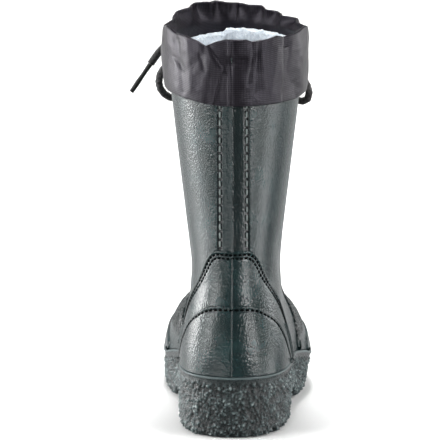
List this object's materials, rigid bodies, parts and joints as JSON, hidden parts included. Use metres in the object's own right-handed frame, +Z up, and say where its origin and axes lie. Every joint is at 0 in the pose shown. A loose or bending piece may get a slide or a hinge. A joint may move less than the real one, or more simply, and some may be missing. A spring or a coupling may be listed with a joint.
{
  "type": "insulated winter boot",
  "caption": "Pull-on moulded foam boot with raised counter, back strip and rand, heeled crepe sole, and a turned-over nylon cuff drawn in by a cord.",
  "frame": {"origin": "on the floor under the middle of the heel, on the flat lug that the heel stands on", "axes": "+Z up, +Y from the heel to the toe, +X to the outer side of the foot, which for this right boot is the right"},
  "size_m": [0.1404, 0.2982, 0.3084],
  "materials": {
    "boot green": "satin, fine leather grain",
    "sole green": "matt, coarse crepe grain",
    "felt grey": "soft, dull",
    "nylon charcoal": "woven, slight sheen",
    "cord black": "braided, dull",
    "aglet black": "smooth"
  },
  "bodies": {
    "root": {"outsole": "sole green", "upper": "boot green", "insole": "felt grey", "cuff": "nylon charcoal", "bow_knot": "cord black", "bow_loop_left": "cord black", "bow_loop_right": "cord black", "cord_end_left": "cord black", "cord_end_right": "cord black", "aglet_left": "aglet black", "aglet_right": "aglet black"}
  },
  "joints": []
}
